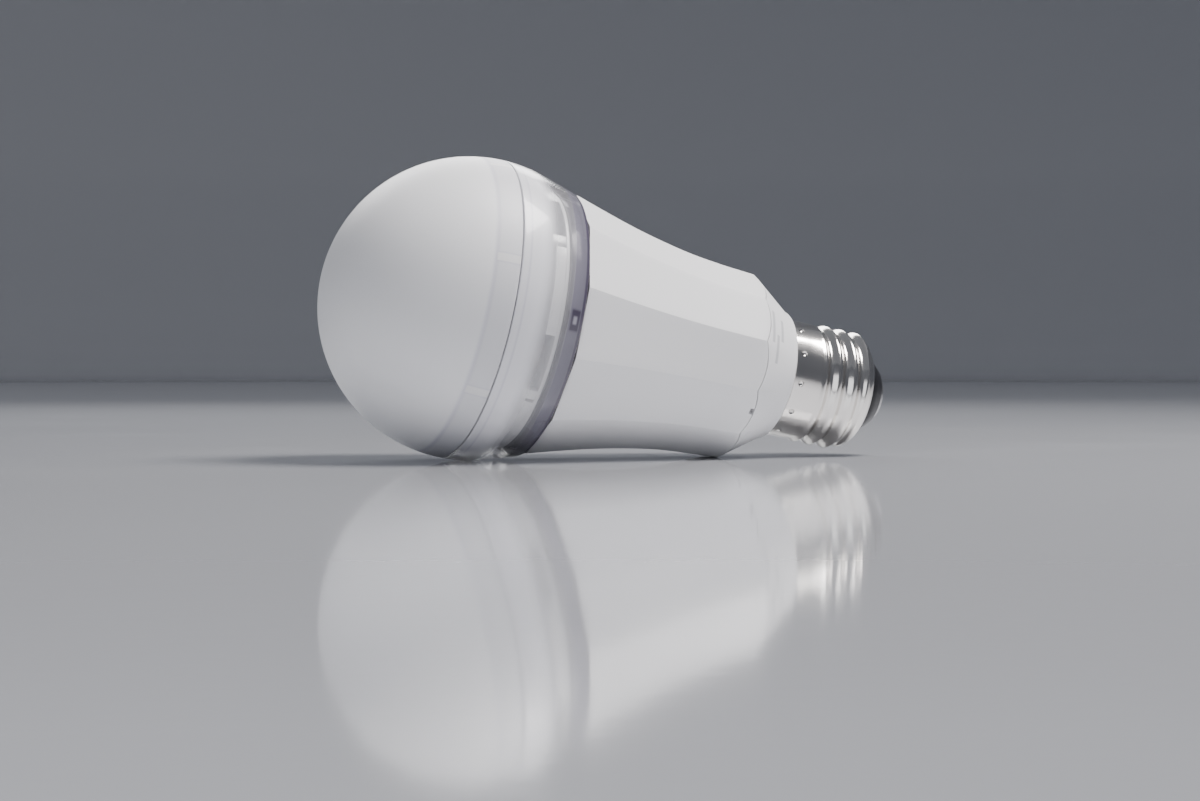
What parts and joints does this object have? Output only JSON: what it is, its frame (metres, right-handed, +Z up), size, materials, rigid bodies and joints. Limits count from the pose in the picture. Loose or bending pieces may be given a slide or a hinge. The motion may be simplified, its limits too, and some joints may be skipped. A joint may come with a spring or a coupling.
{
  "type": "smart light bulb",
  "caption": "Smart LED light bulb: frosted dome, clear lens ring, twelve-sided metal body, neck collar and Edison screw base, lying on its side.",
  "frame": {"origin": "on the surface the bulb lies on, under the middle of its bounding box", "axes": "+Z up, +X along the bulb from the dome end to the screw base; the bulb's own axis lies in the XZ plane and slopes down 11.67 degrees towards +X"},
  "size_m": [0.1258, 0.0634, 0.0634],
  "materials": {
    "frosted_plastic": "frosted, translucent",
    "clear_plastic": "lightly frosted, see-through",
    "painted_body": "satin white paint over die-cast aluminium",
    "neck_plastic": "satin moulded plastic",
    "nickel_shell": "bright nickel plate over brass",
    "black_insulator": "glossy black",
    "contact_steel": "tinned metal",
    "reflector_white": "glossy white",
    "dark_metal": "dark anodised",
    "thermal_pad": "soft silicone pad",
    "board_white": "white solder mask",
    "plated_steel": "plated",
    "lamp_white": "phosphor under silicone",
    "lamp_red": "silicone lens",
    "lamp_green": "silicone lens",
    "lamp_blue": "silicone lens",
    "chip_black": "moulded epoxy",
    "sleeve_plastic": "moulded insulator",
    "board_green": "solder mask",
    "board_blue": "solder mask",
    "capacitor_sleeve": "heat-shrunk sleeve on an aluminium can",
    "ferrite": "sintered",
    "winding_tape": "polyester tape over copper wire",
    "film_yellow": "epoxy coated",
    "resistor_blue": "lacquered",
    "red_wire": "wire insulation",
    "black_wire": "wire insulation"
  },
  "bodies": {
    "root": {"diffuser_dome": "frosted_plastic", "lens_ring": "clear_plastic", "heatsink_body": "painted_body", "neck_collar": "neck_plastic", "screw_shell": "nickel_shell", "base_insulator": "black_insulator", "centre_contact": "contact_steel", "reflector_dish": "reflector_white", "heat_spreader": "dark_metal", "thermal_pad": "thermal_pad", "led_board": "board_white", "board_screw_1": "plated_steel", "board_screw_2": "plated_steel", "board_screw_3": "plated_steel", "radio_shield": "plated_steel", "led_white_centre": "lamp_white", "led_white_1": "lamp_white", "led_white_2": "lamp_white", "led_red_1": "lamp_red", "led_red_2": "lamp_red", "led_green_1": "lamp_green", "led_green_2": "lamp_green", "led_blue_1": "lamp_blue", "led_blue_2": "lamp_blue", "temperature_sensor": "chip_black", "bridge_rectifier": "chip_black", "switching_transistor": "chip_black", "controller_chip": "chip_black", "board_header": "chip_black", "driver_sleeve": "sleeve_plastic", "power_board": "board_green", "radio_board": "board_blue", "bulk_capacitor": "capacitor_sleeve", "output_capacitor": "capacitor_sleeve", "transformer_core": "ferrite", "choke_inductor": "ferrite", "transformer_winding": "winding_tape", "film_capacitor": "film_yellow", "fuse_resistor": "resistor_blue", "lamp_lead_positive": "red_wire", "neutral_lead": "red_wire", "lamp_lead_negative": "black_wire", "line_lead": "black_wire"}
  },
  "joints": []
}
